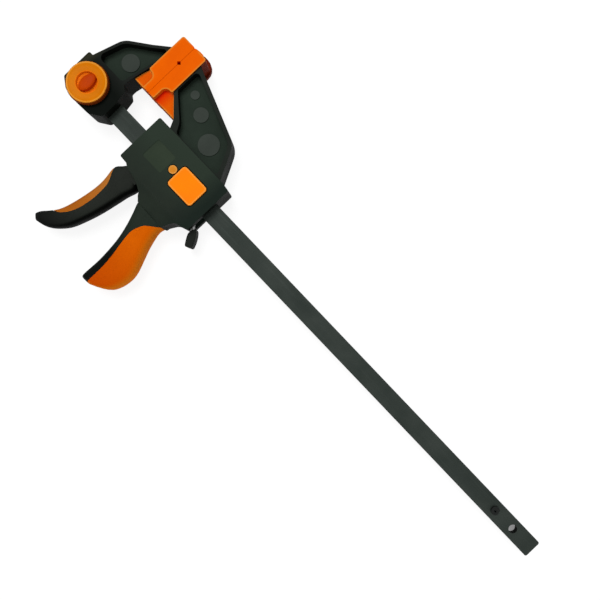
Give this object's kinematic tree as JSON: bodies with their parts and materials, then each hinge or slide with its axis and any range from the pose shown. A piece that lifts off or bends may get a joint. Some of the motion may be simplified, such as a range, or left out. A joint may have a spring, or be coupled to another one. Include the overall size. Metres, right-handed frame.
{
  "type": "quick release bar clamp",
  "caption": "Quick release bar clamp with pistol handle, trigger drive, sprung brake lever with release tab, padded jaws on a flat bar and a lock knob for the fixed jaw.",
  "frame": {"origin": "on the bar's centre line, in the plane where the two closed pads meet", "axes": "+X along the bar to its free end, +Y to the jaw tips, +Z through the thickness, out of the side with the knob and the button"},
  "size_m": [0.6844, 0.251, 0.0483],
  "materials": {
    "bar_steel": "satin",
    "jaw_plastic": "matte, fine-grained",
    "trigger_plastic": "matte",
    "pad_rubber": "satin",
    "grip_rubber": "matte",
    "knob_plastic": "semi-gloss",
    "tab_plastic": "semi-gloss",
    "button_plastic": "semi-gloss",
    "pin_steel": "satin",
    "spring_steel": "satin"
  },
  "bodies": {
    "bar": {"bar": "bar_steel", "stop_pin": "pin_steel", "fixed_jaw": "jaw_plastic", "fixed_pad": "pad_rubber", "lock_bush": "pin_steel"},
    "lock_knob": {"lock_knob": "knob_plastic", "knob_tab": "tab_plastic", "lock_pin": "pin_steel", "lock_clip": "spring_steel"},
    "moving_jaw": {"front_shell": "jaw_plastic", "back_shell": "jaw_plastic", "shell_screws": "pin_steel", "moving_pad": "pad_rubber", "handle_core": "jaw_plastic", "handle_grip": "grip_rubber", "trigger_pin": "pin_steel", "front_plug": "knob_plastic", "drive_spring": "spring_steel", "brake_spring": "spring_steel", "button_spring": "spring_steel"},
    "trigger": {"trigger": "trigger_plastic", "trigger_insert": "grip_rubber"},
    "drive_lever": {"drive_lever": "pin_steel"},
    "brake_lever": {"brake_lever": "pin_steel", "release_tab": "trigger_plastic"},
    "release_button": {"release_button": "button_plastic"}
  },
  "joints": [
    {"name": "jaw_slide", "type": "slide", "parent": "bar", "child": "moving_jaw", "axis": [1, 0, 0], "range_m": [0, 0.421]},
    {"name": "lock_turn", "type": "hinge", "parent": "bar", "child": "lock_knob", "pos_m": [-0.0485, 0, 0], "axis": [0, 0, 1], "range_deg": [0, 90]},
    {"name": "trigger_pivot", "type": "hinge", "parent": "moving_jaw", "child": "trigger", "pos_m": [0.05, -0.019, 0], "axis": [0, 0, 1], "range_deg": [0, 20], "stiffness_Nm_per_rad": 0.8, "springref_deg": -20.05},
    {"name": "drive_slide", "type": "slide", "parent": "moving_jaw", "child": "drive_lever", "axis": [1, 0, 0], "range_m": [0, 0.00295], "deforming": ["drive_spring"]},
    {"name": "brake_pivot", "type": "hinge", "parent": "moving_jaw", "child": "brake_lever", "pos_m": [0.115, -0.0175, 0], "axis": [0, 0, -1], "range_deg": [0, 6], "stiffness_Nm_per_rad": 0.6, "springref_deg": -11.46, "deforming": ["brake_spring"]},
    {"name": "button_press", "type": "slide", "parent": "moving_jaw", "child": "release_button", "axis": [0, 0, -1], "range_m": [0, 0.0025], "stiffness_N_per_m": 600, "springref_m": -0.003, "deforming": ["button_spring"]}
  ],
  "couplings": [
    {"joint": "drive_slide", "follows": "trigger_pivot", "m_per_rad": 0.008444}
  ]
}
